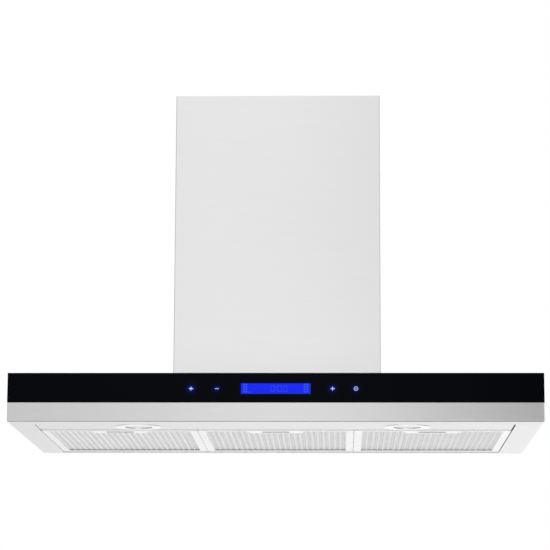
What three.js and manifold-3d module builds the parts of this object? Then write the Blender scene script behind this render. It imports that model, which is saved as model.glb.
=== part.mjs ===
// Island range hood: a flat T-shaped canopy under a telescopic chimney that hangs from the ceiling.
// Units are millimetres, +Z is up and the front faces -Y.
// The origin is the centre of the ceiling plate's top face, so everything hangs below Z = 0.
// Inside the hood group Z = 0 is the canopy's underside.
import * as THREE from "three";
import { mergeVertices } from "three/addons/utils/BufferGeometryUtils.js";
import Module from "manifold-3d";

const wasm = await Module();
wasm.setup();

// ---------- driving dimensions ----------
const HEIGHT = 591.5; // canopy underside to ceiling, fully collapsed
const SHEET = 1; // stainless sheet thickness
const GAP = 0.3; // between pieces that touch
const CANOPY = { width: 900, depth: 500, height: 83, strip: 32.5 };
const OPENING = { left: -409.9, right: 405.5, front: -209, rear: 235, lip: 15.2, rearLip: 6.4 };
const GLASS = { thick: 4, setback: 0.5, behind: 1, overhang: 0.5 };
const LAMP = { left: -236, right: 223.4, y: -159, z: 1.5, hole: 31, flange: 39, aperture: 23.5 };
const LAMP_PANEL = { left: -409.3, right: 403.7, front: -208.5, rear: -115.7, recess: 1.8, lip: 14.2 };
const FILTER = { middle: -2.5, width: 270.9, pitch: 271.4, front: -115, rear: 233.4, thick: 9 };
const BORDER = { side: 13.5, rear: 19 };
const FILTER_AXIS = { y: 225, z: 5.5 };
const LATCH = { halfPlate: 50, window: 23.4 };
const CHIMNEY = { halfX: 179.2, halfY: 140, clearance: 1, lower: 507.5, upper: 500 };
const POST = { leg: 25, thick: 1.5, clearance: 0.5, slotPitch: 55, slots: 7 };
const PLATE = { thick: 2, openX: 120, openY: 110 };
const BLOWER_BOX = { halfX: 147, halfY: 122, top: 372 };
const FAN = { y: -20, z: 205, radius: 76, hub: 63.5, halfWidth: 66.5, blades: 24 };
const SCROLL = { start: 84, end: 118, halfWidth: 72, wall: 1.2, outlet: 90 };
const COLLAR = { y: 32, radius: 75, wall: 1.5, top: 426 };
const AXLE = { radius: 2, z: 382.4 };

// ---------- materials ----------
const finish = (color, roughness, metalness) =>
  new THREE.MeshStandardMaterial({ color, roughness, metalness });
const MATERIAL = {
  steel: finish(0xcfd0d1, 0.32, 1),
  galvanised: finish(0xaeb3b6, 0.5, 1),
  aluminium: finish(0xd8dadb, 0.4, 1),
  blackGlass: finish(0x0a0b0f, 0.05, 0),
  display: finish(0x1a2cf0, 0.3, 0),
  lens: finish(0xf4f6f6, 0.25, 0),
  chrome: finish(0xe6e7e8, 0.15, 1),
  blackPlastic: finish(0x18191b, 0.6, 0),
  greyPlastic: finish(0x8b8f92, 0.6, 0),
  board: finish(0x1c5a33, 0.55, 0),
  cable: finish(0x2a2a2c, 0.5, 0),
};

// ---------- solids ----------
// A closed three.js geometry as a manifold solid.
function solid(geometry) {
  const g = geometry.index ? geometry.toNonIndexed() : geometry.clone();
  g.deleteAttribute("normal");
  g.deleteAttribute("uv");
  const merged = mergeVertices(g, 1e-4);
  return new wasm.Manifold(
    new wasm.Mesh({
      numProp: 3,
      vertProperties: merged.attributes.position.array,
      triVerts: new Uint32Array(merged.index.array),
    }),
  );
}

// A manifold solid back as a three.js geometry.
function geometryOf(made) {
  const mesh = made.getMesh();
  const flat = new THREE.BufferGeometry();
  const positions = new Float32Array(mesh.numVert * 3);
  for (let i = 0; i < mesh.numVert; i++)
    positions.set(mesh.vertProperties.subarray(i * mesh.numProp, i * mesh.numProp + 3), i * 3);
  flat.setAttribute("position", new THREE.BufferAttribute(positions, 3));
  flat.setIndex(new THREE.BufferAttribute(mesh.triVerts, 1));
  flat.computeVertexNormals();
  return flat;
}

const joined = (first, ...rest) => rest.reduce((a, b) => a.add(b), first);
const less = (first, ...rest) => rest.reduce((a, b) => a.subtract(b), first);

// A block between two corners.
function block(x0, x1, y0, y1, z0, z1) {
  const g = new THREE.BoxGeometry(x1 - x0, y1 - y0, z1 - z0);
  return solid(g.translate((x0 + x1) / 2, (y0 + y1) / 2, (z0 + z1) / 2));
}

// A block centred on the Z axis, between two heights.
const centred = (halfX, halfY, z0, z1) => block(-halfX, halfX, -halfY, halfY, z0, z1);

// A body of revolution about Z from [radius, z] points, listed anticlockwise and not closed.
function turned(points, segments = 32) {
  const closed = [...points, points[0]].map(([r, z]) => new THREE.Vector2(r, z));
  return new THREE.LatheGeometry(closed, segments).rotateX(Math.PI / 2);
}

// A round bar along Z.
function bar(radius, z0, z1, segments = 24) {
  const g = new THREE.CylinderGeometry(radius, radius, z1 - z0, segments).rotateX(Math.PI / 2);
  return g.translate(0, 0, (z0 + z1) / 2);
}

// A tube along Z.
const tube = (inner, outer, z0, z1, segments = 32) =>
  turned([[inner, z0], [outer, z0], [outer, z1], [inner, z1]], segments);

// An outline in the XY plane, extruded along Z.
function extruded(points, z0, z1) {
  const shape = new THREE.Shape(points.map(([x, y]) => new THREE.Vector2(x, y)));
  const g = new THREE.ExtrudeGeometry(shape, { depth: z1 - z0, bevelEnabled: false });
  return g.translate(0, 0, z0);
}

// Turns a geometry made along Z so that it runs along X, keeping its local Y: (x, y, z) -> (z, x, y).
const alongX = (geometry) =>
  geometry.applyMatrix4(new THREE.Matrix4().set(0, 0, 1, 0, 1, 0, 0, 0, 0, 1, 0, 0, 0, 0, 0, 1));

// ---------- scene graph ----------
const rangeHood = new THREE.Group();
const ceiling = new THREE.Group();
const hood = new THREE.Group();
hood.position.z = -HEIGHT;
rangeHood.add(ceiling, hood);

function add(group, name, material, shape, position = [0, 0, 0]) {
  const geometry = shape.isBufferGeometry ? shape : geometryOf(shape);
  const mesh = new THREE.Mesh(geometry, MATERIAL[material]);
  mesh.name = name;
  mesh.position.set(...position);
  group.add(mesh);
  return mesh;
}

// The four corners of the chimney: a name and the signs of X and Y.
const CORNERS = [
  ["front_left", -1, -1],
  ["front_right", 1, -1],
  ["rear_left", -1, 1],
  ["rear_right", 1, 1],
];

// ---------- support frame ----------
// A ceiling plate with a wide duct opening and four slots for the ceiling screws.
function ceilingPlate() {
  const halfX = CHIMNEY.halfX - 3 * SHEET - POST.clearance;
  const halfY = CHIMNEY.halfY - 3 * SHEET - POST.clearance;
  const slot = (x, y) => block(x - 4.5, x + 4.5, y - 11, y + 11, -PLATE.thick - 1, 1);
  const slotX = (halfX + PLATE.openX) / 2;
  return less(
    centred(halfX, halfY, -PLATE.thick, 0),
    centred(PLATE.openX, PLATE.openY, -PLATE.thick - 1, 1),
    ...CORNERS.map(([, sx, sy]) => slot(sx * slotX, sy * 70)),
  );
}

// An angle iron with its outer corner at the origin and its legs towards the chimney's centre.
// A row of slots in the leg that faces sideways takes the bolts that set the height.
function angleIron(sx, sy, leg, z0, z1, firstSlot) {
  const thick = POST.thick;
  const span = (sign, length) => (sign > 0 ? [-length, 0] : [0, length]);
  const sideLeg = block(...span(sx, thick), ...span(sy, leg), z0, z1);
  const frontLeg = block(...span(sx, leg), ...span(sy, thick), z0, z1);
  const slots = [];
  for (let i = 0; i < POST.slots; i++) {
    const z = firstSlot + i * POST.slotPitch;
    const middle = -sy * leg * 0.55;
    slots.push(block(-thick * 2, thick * 2, middle - 3, middle + 3, z - 8, z + 8));
  }
  return less(joined(sideLeg, frontLeg), ...slots);
}

function supportFrame() {
  add(ceiling, "ceiling_plate", "galvanised", ceilingPlate());
  const upperX = CHIMNEY.halfX - 3 * SHEET - POST.clearance;
  const upperY = CHIMNEY.halfY - 3 * SHEET - POST.clearance;
  const inset = POST.thick + POST.clearance;
  const ringTop = CANOPY.height + GAP + 2;
  const ring = less(
    centred(upperX - 1, upperY - 1, CANOPY.height + GAP, ringTop),
    centred(BLOWER_BOX.halfX + 2, BLOWER_BOX.halfY + 2, CANOPY.height, ringTop + 1),
  );
  add(hood, "frame_base_ring", "galvanised", ring);
  for (const [corner, sx, sy] of CORNERS) {
    const upper = angleIron(sx, sy, POST.leg, -490, -PLATE.thick - GAP, -470);
    add(ceiling, `upper_post_${corner}`, "galvanised", upper, [sx * upperX, sy * upperY, 0]);
    const lower = angleIron(sx, sy, POST.leg - inset, ringTop + GAP, 540, 120);
    const place = [sx * (upperX - inset), sy * (upperY - inset), 0];
    add(hood, `lower_post_${corner}`, "galvanised", lower, place);
  }
}

// ---------- chimney ----------
// Half of a rectangular chimney cover: a U-shaped sheet that ends at the side seams.
function coverHalf(halfX, halfY, sy, z0, z1) {
  const along = (a, b) => (sy > 0 ? [a, b] : [-b, -a]);
  return less(
    block(-halfX, halfX, ...along(GAP / 2, halfY), z0, z1),
    block(-halfX + SHEET, halfX - SHEET, ...along(-1, halfY - SHEET), z0 - 1, z1 + 1),
  );
}

// Horizontal vent slots near the top of both sides, for use without a duct.
function ventSlots(halfX, halfY, sy, top) {
  const slots = [];
  for (let i = 0; i < 6; i++) {
    const z = top - 30 - i * 14;
    const ends = sy > 0 ? [22, halfY - 30] : [30 - halfY, -22];
    slots.push(block(-halfX - 1, halfX + 1, ...ends, z - 2.5, z + 2.5));
  }
  return slots;
}

function chimney() {
  const upperX = CHIMNEY.halfX - SHEET - CHIMNEY.clearance;
  const upperY = CHIMNEY.halfY - SHEET - CHIMNEY.clearance;
  const bottom = CANOPY.height + GAP;
  for (const [half, sy] of [["front", -1], ["rear", 1]]) {
    const lower = coverHalf(CHIMNEY.halfX, CHIMNEY.halfY, sy, bottom, bottom + CHIMNEY.lower);
    add(hood, `lower_cover_${half}`, "steel", lower);
    const upper = coverHalf(upperX, upperY, sy, -1 - CHIMNEY.upper, -1);
    const vented = less(upper, ...ventSlots(upperX, upperY, sy, -1));
    add(ceiling, `upper_cover_${half}`, "steel", vented);
  }
}

// ---------- canopy ----------
const FRONT = -CANOPY.depth / 2;
const GLASS_BACK = FRONT + GLASS.setback + GLASS.thick;
const BACKING = GLASS_BACK + GLASS.behind;

// The welded body: top sheet, four aprons, underside flange with an upturned lip, and the recess
// above the front strip that takes the glass.
function canopyShell() {
  const halfX = CANOPY.width / 2;
  const halfY = CANOPY.depth / 2;
  const top = CANOPY.height;
  const { left, right, front, rear, lip, rearLip } = OPENING;
  const lips = less(
    block(left - SHEET, right + SHEET, front - SHEET, rear + SHEET, 0, lip),
    block(left, right, front, rear, -1, lip + 1),
    block(-halfX, halfX, rear - 1, rear + 2, rearLip, lip + 1),
  );
  const hollow = less(
    centred(halfX - SHEET, halfY - SHEET, SHEET, top - SHEET),
    block(-halfX, halfX, FRONT, BACKING + SHEET, CANOPY.strip - SHEET, top),
  );
  const recess = block(-halfX - 1, halfX + 1, FRONT - 1, BACKING, CANOPY.strip, top + 1);
  const controlWindow = block(-148, 148, BACKING - 1, BACKING + SHEET + 1, 40, 74);
  const intake = centred(BLOWER_BOX.halfX - 2, BLOWER_BOX.halfY - 4, top - SHEET - 1, top + 1);
  const shell = less(
    centred(halfX, halfY, 0, top),
    hollow,
    block(left, right, front, rear, -1, SHEET + 1),
    recess,
    controlWindow,
    intake,
  );
  return joined(shell, lips);
}

// The glass fascia stands on the front strip, just behind its face, and overhangs both ends a little.
function frontGlass() {
  const halfX = CANOPY.width / 2 + GLASS.overhang;
  const bottom = CANOPY.strip + GAP;
  return block(-halfX, halfX, FRONT + GLASS.setback, GLASS_BACK, bottom, CANOPY.height - GAP);
}

// A cover over the back of the controls, open towards the glass.
function controlCover() {
  const front = BACKING + SHEET + GAP;
  return less(
    block(-154, 154, front, front + 22, 37, 77),
    block(-152, 152, front - 1, front + 20, 39, 75),
    block(-152, -140, front + 15, front + 23, 52, 60),
  );
}

function controls() {
  const displayFront = GLASS_BACK + GAP;
  add(hood, "front_glass", "blackGlass", frontGlass());
  add(hood, "display_module", "display", block(-60.5, 60.5, displayFront, displayFront + 6, 44, 68));
  const board = displayFront + 6 + GAP;
  add(hood, "touch_board", "board", block(-146, 146, board, board + 1.6, 41, 72));
  add(hood, "control_cover", "blackPlastic", controlCover());
  add(hood, "power_supply", "blackPlastic", block(-432, -302, -238, -168, 46, CANOPY.height - SHEET - GAP));
  add(hood, "lamp_driver", "greyPlastic", block(300, 402, -236, -196, 54, CANOPY.height - SHEET - GAP));
}

// ---------- lamps ----------
// A folded tray between the front flange and the filters, a little above them, with two lamp holes
// and three latch slots. It is loose at its right end.
function lampPanel() {
  const { left, right, front, rear, recess, lip } = LAMP_PANEL;
  const holes = [LAMP.left, LAMP.right].map((x) =>
    solid(bar(LAMP.hole, -2, 6, 40).translate(x, LAMP.y, 0)),
  );
  const slots = [-1, 0, 1].map((i) => {
    const x = FILTER.middle + i * FILTER.pitch;
    return block(x - 11, x + 11, rear - SHEET - 1, rear + 1, 5.9, 9.1);
  });
  return less(
    block(left, right, front, rear, recess, lip),
    block(left + SHEET, right - SHEET, front + SHEET, rear - SHEET, recess + SHEET, lip + 1),
    ...holes,
    ...slots,
  );
}

// Bezel with a flange under the panel, a flared aperture and a barrel that holds the lens.
const lampBezel = () =>
  turned([
    [LAMP.aperture, -1.2], [LAMP.flange - 0.8, -1.2], [LAMP.flange, -0.5], [LAMP.flange, 0],
    [30.5, 0], [30.5, 13], [29, 13], [29, 2], [LAMP.aperture + 1.5, 2],
  ], 32);

// The LED module: a disc with two cooling fins on top.
const lampModule = () =>
  turned([
    [0, 5], [28, 5], [28, 14], [20, 14], [20, 18], [28, 18], [28, 20.5], [20, 20.5], [20, 24],
    [28, 24], [28, 28], [0, 28],
  ], 20);

function lamps() {
  add(hood, "lamp_panel", "steel", lampPanel());
  for (const side of ["left", "right"]) {
    const lamp = new THREE.Group();
    lamp.position.set(LAMP[side], LAMP.y, LAMP.z);
    hood.add(lamp);
    add(lamp, `lamp_bezel_${side}`, "chrome", lampBezel());
    add(lamp, `lamp_lens_${side}`, "lens", bar(28.5, 2 + GAP, 4.5, 32));
    add(lamp, `lamp_module_${side}`, "aluminium", lampModule());
  }
}

// A lead of round section along a smooth route.
function lead(points, radius = 2.2, steps = 20) {
  const route = new THREE.CatmullRomCurve3(points.map((p) => new THREE.Vector3(...p)));
  const section = new THREE.Shape();
  for (let i = 0; i < 6; i++) {
    const angle = (i * Math.PI) / 3;
    const corner = [radius * Math.cos(angle), radius * Math.sin(angle)];
    if (i) section.lineTo(...corner);
    else section.moveTo(...corner);
  }
  return new THREE.ExtrudeGeometry(section, { steps, bevelEnabled: false, extrudePath: route });
}

// Each lead ends GAP short of what it plugs into.
function leads() {
  const right = [
    [299.7, -216, 68], [285, -214, 68], [262, -200, 66], [236, -172, 58], [226, -161, 45], [223.4, -159, 30.1],
  ];
  const left = [
    [299.7, -224, 72], [280, -224, 73], [200, -218, 76], [60, -216, 76.5], [-80, -216, 76.5],
    [-180, -210, 75], [-220, -187, 66], [-234, -163, 48], [-236, -159, 30.1],
  ];
  const control = [
    [-146, BACKING + 16, 56], [-146, BACKING + 30, 57], [-158, -204, 62], [-200, -200, 64], [-270, -203, 64],
    [-301.7, -203, 64],
  ];
  add(hood, "lamp_lead_right", "cable", lead(right));
  add(hood, "lamp_lead_left", "cable", lead(left, 2.2, 32));
  add(hood, "control_lead", "cable", lead(control));
}

// ---------- grease filters ----------
// Local frame: the hinge line at the rear is the X axis, and the filter reaches forward along -Y.
const FILTER_FRONT = FILTER.front - FILTER_AXIS.y;
const FILTER_REAR = FILTER.rear - FILTER_AXIS.y;
const HALF = FILTER.thick / 2;

// A folded frame with a groove for the pad, a slot for the latch tongue and two tabs that rest on
// the canopy's rear lip.
function filterFrame() {
  const halfX = FILTER.width / 2;
  const inner = halfX - BORDER.side;
  const [front, rear] = [FILTER_FRONT + BORDER.side, FILTER_REAR - BORDER.rear];
  const body = less(
    block(-halfX, halfX, FILTER_FRONT, FILTER_REAR, -HALF, HALF),
    block(-inner, inner, front, rear, -HALF - 1, HALF + 1),
    block(-inner - 6, inner + 6, front - 6, rear + 6, -2.3, 3.5),
    block(-10.6, 10.6, FILTER_FRONT - 1, front, 0.8, 3.1),
  );
  const tabs = [-80, 80].map((x) => block(x - 10, x + 10, FILTER_REAR - 1, FILTER_REAR + 8.6, 1.2, 2.4));
  return joined(body, ...tabs);
}

// A corrugated mesh pad with a notch in front for the latch. The ridges run from front to rear.
function filterPad() {
  const halfX = FILTER.width / 2 - BORDER.side + 5.4;
  const [front, rear] = [FILTER_FRONT + BORDER.side - 5.4, FILTER_REAR - BORDER.rear + 5.4];
  const [low, high, wall, ridges] = [-1.9, 3.1, 1.4, 23];
  const pitch = (2 * halfX) / ridges;
  const lower = [];
  const upper = [];
  for (let i = 0; i < ridges; i++) {
    const x = -halfX + i * pitch;
    for (const [share, z] of [[0, low], [0.45, low], [0.6, high - wall], [0.85, high - wall]]) {
      lower.push([x + share * pitch, z]);
      upper.push([x + share * pitch, z + wall]);
    }
  }
  lower.push([halfX, low]);
  upper.push([halfX, low + wall]);
  const band = extruded([...lower, ...upper.reverse()], 0, rear - front);
  band.rotateX(Math.PI / 2).translate(0, rear, 0);
  const notch = block(-LATCH.halfPlate - 3, LATCH.halfPlate + 3, front - 1, FILTER_FRONT + 48.5, -9, 9);
  return less(solid(band), notch);
}

// A face plate with a finger window, and two guides for the slide behind it.
function latchPlate() {
  const front = FILTER_FRONT + BORDER.side + GAP;
  const face = extruded([
    [-LATCH.halfPlate, front], [LATCH.halfPlate, front], [LATCH.halfPlate - 5, front + 27.5],
    [5 - LATCH.halfPlate, front + 27.5],
  ], -HALF, -HALF + 1.5);
  const guides = [-1, 1].map((side) =>
    block(side * 29.05 - 0.75, side * 29.05 + 0.75, front + 1.5, front + 27, -HALF + 1, 3.1),
  );
  const window = block(-LATCH.window, LATCH.window, front + 3, front + 19.5, -9, -HALF + 2);
  return less(joined(solid(face), ...guides), window);
}

// The spring-loaded slide: a plate, a grip wall in the window and a tongue through the front rail.
function latchSlide() {
  const grip = FILTER_FRONT + BORDER.side + 10.3;
  return joined(
    block(-27, 27, grip - 8.5, grip + 13.5, 1.2, 2.7),
    block(-10, 10, FILTER_FRONT + 0.3, grip, 1.2, 2.7),
    block(-22.8, 22.8, grip, grip + 2, -HALF + 0.3, 2),
  );
}

function filters() {
  for (const [i, side] of [[-1, "left"], [0, "middle"], [1, "right"]]) {
    const filter = new THREE.Group();
    filter.position.set(FILTER.middle + i * FILTER.pitch, FILTER_AXIS.y, FILTER_AXIS.z);
    hood.add(filter);
    add(filter, `filter_frame_${side}`, "aluminium", filterFrame());
    add(filter, `filter_pad_${side}`, "aluminium", filterPad());
    add(filter, `latch_plate_${side}`, "aluminium", latchPlate());
    add(filter, `latch_slide_${side}`, "chrome", latchSlide());
  }
}

// ---------- blower ----------
// A sheet box over the canopy's intake, open below, with a round hole for the outlet.
function blowerBox() {
  const { halfX, halfY, top } = BLOWER_BOX;
  const bottom = CANOPY.height + GAP;
  return less(
    centred(halfX, halfY, bottom, top),
    centred(halfX - SHEET, halfY - SHEET, bottom - 1, top - SHEET),
    solid(bar(73.5, top - 3, top + 1, 40).translate(0, COLLAR.y, 0)),
  );
}

// The scroll's outline in Y and Z about the fan's axis, offset outwards by `out`: a spiral that
// starts at the cut-off tongue, opens over the rear, and runs straight up to the outlet.
function scrollOutline(out, top) {
  const tongue = SCROLL.start / 2 - out;
  const first = Math.acos(tongue / (SCROLL.start + out));
  const steps = 30;
  const points = [];
  for (let i = 0; i <= steps; i++) {
    const angle = first + ((2 * Math.PI - first) * i) / steps;
    const radius = SCROLL.start + ((SCROLL.end - SCROLL.start) * i) / steps + out;
    points.push([radius * Math.cos(angle), radius * Math.sin(angle)]);
  }
  return [...points, [SCROLL.end + out, top], [tongue, top]];
}

// The spiral strip between the side plates, open at the outlet.
function scrollWrap() {
  const width = SCROLL.halfWidth;
  const outer = alongX(extruded(scrollOutline(SCROLL.wall, SCROLL.outlet), -width, width));
  const inner = alongX(extruded(scrollOutline(0, SCROLL.outlet + 1), -width - 1, width + 1));
  return less(solid(outer), solid(inner));
}

// A side plate with an inlet ring that leads the air into the fan wheel.
function scrollSide(side) {
  const near = SCROLL.halfWidth + GAP;
  const span = (a, b) => (side > 0 ? [a, b] : [-b, -a]);
  const outline = scrollOutline(SCROLL.wall, SCROLL.outlet);
  const plate = solid(alongX(extruded(outline, ...span(near, near + 1.2))));
  const bore = solid(alongX(bar(65, ...span(near - 2, near + 4), 40)));
  const ring = solid(alongX(tube(63.5, 65.5, ...span(FAN.halfWidth + 1.5, near + 0.6), 40)));
  return joined(less(plate, bore), ring);
}

// A centre disc with a boss, which carries the blades of the double-width wheel.
const fanHub = () => alongX(geometryOf(joined(
  solid(tube(6, FAN.hub, -1.2, 1.2, FAN.blades)),
  solid(tube(4.3, 12, -14, 4, 16)),
)));

// The wheel's cage: blades all along its width, held by two end rings.
function fanWheel() {
  const { radius, halfWidth, blades } = FAN;
  const ringInner = radius - 13;
  const parts = [
    solid(tube(ringInner, radius, halfWidth - 2, halfWidth, blades)),
    solid(tube(ringInner, radius, -halfWidth, 2 - halfWidth, blades)),
  ];
  const bladeAngle = THREE.MathUtils.degToRad(32);
  for (let i = 0; i < blades; i++) {
    const blade = new THREE.BoxGeometry(11.5, 1.2, 2 * halfWidth - 2);
    blade.rotateZ(bladeAngle).translate(radius - 7, 0, 0).rotateZ((i * 2 * Math.PI) / blades);
    parts.push(solid(blade));
  }
  return alongX(geometryOf(joined(...parts)));
}

// The motor sits inside the wheel's right half.
const motorBody = () =>
  alongX(turned([
    [5, 7], [30, 7], [40, 12], [40, 60], [34, 66], [34, 73.5], [5, 73.5],
  ], 28));

// A three-armed spider that carries the motor from the right side plate.
function motorSpider() {
  const [near, far] = [SCROLL.halfWidth + 2, SCROLL.halfWidth + 4];
  const arms = [0, 1, 2].map((i) => {
    const arm = new THREE.BoxGeometry(62, 14, far - near).translate(55, 0, (near + far) / 2);
    return solid(alongX(arm.rotateZ(Math.PI / 2 + (i * 2 * Math.PI) / 3)));
  });
  return joined(solid(alongX(tube(9, 34, near, far, 28))), ...arms);
}

// A duct that turns the scroll's rectangular outlet into the collar's round one.
function outletAdapter() {
  const [low, high, count] = [FAN.z + SCROLL.outlet + 0.5, BLOWER_BOX.top - SHEET - 0.5, 40];
  const outletY = [FAN.y + 42, FAN.y + SCROLL.end];
  const rectangle = (inset, angle) => {
    const halfX = SCROLL.halfWidth - inset;
    const halfY = (outletY[1] - outletY[0]) / 2 - inset;
    const reach = Math.min(halfX / Math.abs(Math.cos(angle)), halfY / Math.abs(Math.sin(angle)));
    return [reach * Math.cos(angle), (outletY[0] + outletY[1]) / 2 + reach * Math.sin(angle), low];
  };
  const circle = (inset, angle) => {
    const radius = 73 - inset;
    return [radius * Math.cos(angle), COLLAR.y + radius * Math.sin(angle), high];
  };
  const wall = 1.2;
  const rings = [[rectangle, 0], [circle, 0], [circle, wall], [rectangle, wall]];
  return loft(rings.map(([ring, inset]) => (angle) => ring(inset, angle)), count);
}

// A closed skin through rings of points; the last ring joins back to the first.
function loft(rings, count) {
  const positions = [];
  const index = [];
  rings.forEach((ring) => {
    for (let i = 0; i < count; i++) positions.push(...ring(((i + 0.5) * 2 * Math.PI) / count));
  });
  rings.forEach((_, r) => {
    const [a, b] = [r * count, ((r + 1) % rings.length) * count];
    for (let i = 0; i < count; i++) {
      const j = (i + 1) % count;
      index.push(a + i, a + j, b + j, a + i, b + j, b + i);
    }
  });
  const g = new THREE.BufferGeometry();
  g.setAttribute("position", new THREE.Float32BufferAttribute(positions, 3));
  g.setIndex(index);
  return g;
}

// ---------- back-draught damper ----------
// A flanged collar that the duct slides over, with a ledge for the flaps and holes for their axle.
function damperCollar() {
  const { radius, wall, top, y } = COLLAR;
  const inner = radius - wall;
  const base = BLOWER_BOX.top + GAP;
  const ledge = AXLE.z - 2.4;
  const body = turned([
    [inner, base], [radius + 9, base], [radius + 9, base + 1.5], [radius, base + 1.5],
    [radius, top], [inner, top], [inner, ledge], [inner - 4, ledge], [inner - 4, ledge - 1.5],
    [inner, ledge - 1.5],
  ], 40);
  const axle = alongX(bar(AXLE.radius + GAP, -radius - 1, radius + 1, 12)).translate(0, 0, AXLE.z);
  return less(solid(body), solid(axle)).translate([0, y, 0]);
}

// Half a disc that hangs on the axle by two knuckles. `sy` is the side it closes.
function damperFlap(sy, knuckles) {
  const [radius, inset, low, high] = [71.6, 4.2, -2, -1];
  const start = Math.asin(inset / radius);
  const points = [];
  for (let i = 0; i <= 20; i++) {
    const angle = start + ((Math.PI - 2 * start) * i) / 20;
    points.push([radius * Math.cos(angle), sy * radius * Math.sin(angle)]);
  }
  if (sy < 0) points.reverse();
  const plate = solid(extruded(points, low, high));
  const near = [sy * 2.6, sy * (inset + 2)].sort((a, b) => a - b);
  const webs = knuckles.map((x) => block(x - 7, x + 7, ...near, low, high));
  const rings = knuckles.map((x) => solid(alongX(tube(AXLE.radius + 0.4, 3.6, x - 7, x + 7, 12))));
  return joined(plate, ...webs, ...rings);
}

function damper() {
  const { radius, y } = COLLAR;
  add(hood, "damper_collar", "galvanised", damperCollar());
  const place = [0, y, AXLE.z];
  add(hood, "damper_axle", "galvanised", alongX(bar(AXLE.radius, -radius - 0.8, radius + 0.8, 12)), place);
  add(hood, "damper_flap_front", "aluminium", damperFlap(-1, [-50, 20]), place);
  add(hood, "damper_flap_rear", "aluminium", damperFlap(1, [-20, 50]), place);
}

function blower() {
  add(hood, "blower_box", "galvanised", blowerBox());
  const fan = new THREE.Group();
  fan.position.set(0, FAN.y, FAN.z);
  hood.add(fan);
  add(fan, "scroll_wrap", "galvanised", scrollWrap());
  add(fan, "scroll_side_left", "galvanised", scrollSide(-1));
  add(fan, "scroll_side_right", "galvanised", scrollSide(1));
  add(fan, "fan_wheel", "galvanised", fanWheel());
  add(fan, "fan_hub", "galvanised", fanHub());
  add(fan, "motor_shaft", "chrome", alongX(bar(4, -18, 82, 16)));
  add(fan, "motor_body", "blackPlastic", motorBody());
  add(fan, "motor_spider", "galvanised", motorSpider());
  add(hood, "outlet_adapter", "galvanised", outletAdapter());
}

// ---------- electrics on the blower box ----------
function electrics() {
  const deck = BLOWER_BOX.top + GAP;
  const box = less(
    block(92, 145, -70, 20, deck, deck + 32),
    block(94, 143, -68, 18, deck + 2, deck + 33),
    solid(bar(6.5, -75, -65, 16).rotateX(Math.PI / 2).translate(118, -140, deck + 16)),
  );
  add(hood, "junction_box", "greyPlastic", box);
  add(hood, "junction_cover", "greyPlastic", block(92, 145, -70, 20, deck + 32 + GAP, deck + 34));
  // The cable gland's inlet faces the front and takes a mains lead.
  const gland = turned([
    [4, 0], [10, 0], [10, 7], [8.5, 9], [8, 16], [6, 19], [4, 19],
  ], 18).rotateX(Math.PI / 2);
  add(hood, "cable_gland", "blackPlastic", gland, [118, -70 - GAP, deck + 16]);
}

// ---------- the whole hood ----------
supportFrame();
chimney();
add(hood, "canopy_shell", "steel", canopyShell());
controls();
lamps();
leads();
filters();
blower();
damper();
electrics();

export default rangeHood;
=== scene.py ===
"""Looks of an island range hood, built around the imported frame. Metres, +Z up, the front faces -Y."""

import math

import bmesh
import bpy
from mathutils import Matrix, Vector


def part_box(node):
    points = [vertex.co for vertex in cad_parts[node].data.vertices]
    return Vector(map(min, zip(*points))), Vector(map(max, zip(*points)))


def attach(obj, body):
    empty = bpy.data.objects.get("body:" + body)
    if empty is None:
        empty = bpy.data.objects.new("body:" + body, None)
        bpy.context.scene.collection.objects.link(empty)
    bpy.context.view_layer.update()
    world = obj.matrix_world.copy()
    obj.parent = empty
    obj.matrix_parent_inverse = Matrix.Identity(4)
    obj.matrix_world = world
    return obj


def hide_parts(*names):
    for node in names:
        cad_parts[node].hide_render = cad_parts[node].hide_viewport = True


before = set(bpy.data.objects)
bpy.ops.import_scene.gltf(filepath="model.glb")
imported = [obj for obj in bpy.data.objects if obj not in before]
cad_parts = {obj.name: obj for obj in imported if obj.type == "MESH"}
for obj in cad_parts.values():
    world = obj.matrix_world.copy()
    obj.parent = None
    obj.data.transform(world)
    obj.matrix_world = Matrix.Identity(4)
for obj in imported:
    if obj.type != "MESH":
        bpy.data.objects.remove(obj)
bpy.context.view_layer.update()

MM = 0.001
CANOPY_LO, CANOPY_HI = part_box("canopy_shell")
GLASS_LO, GLASS_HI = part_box("front_glass")
SHEET = 1 * MM
SIDES = ("left", "middle", "right")
CORNERS = ("front_left", "front_right", "rear_left", "rear_right")

scene = bpy.context.scene
scene.view_settings.view_transform = "Standard"


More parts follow.
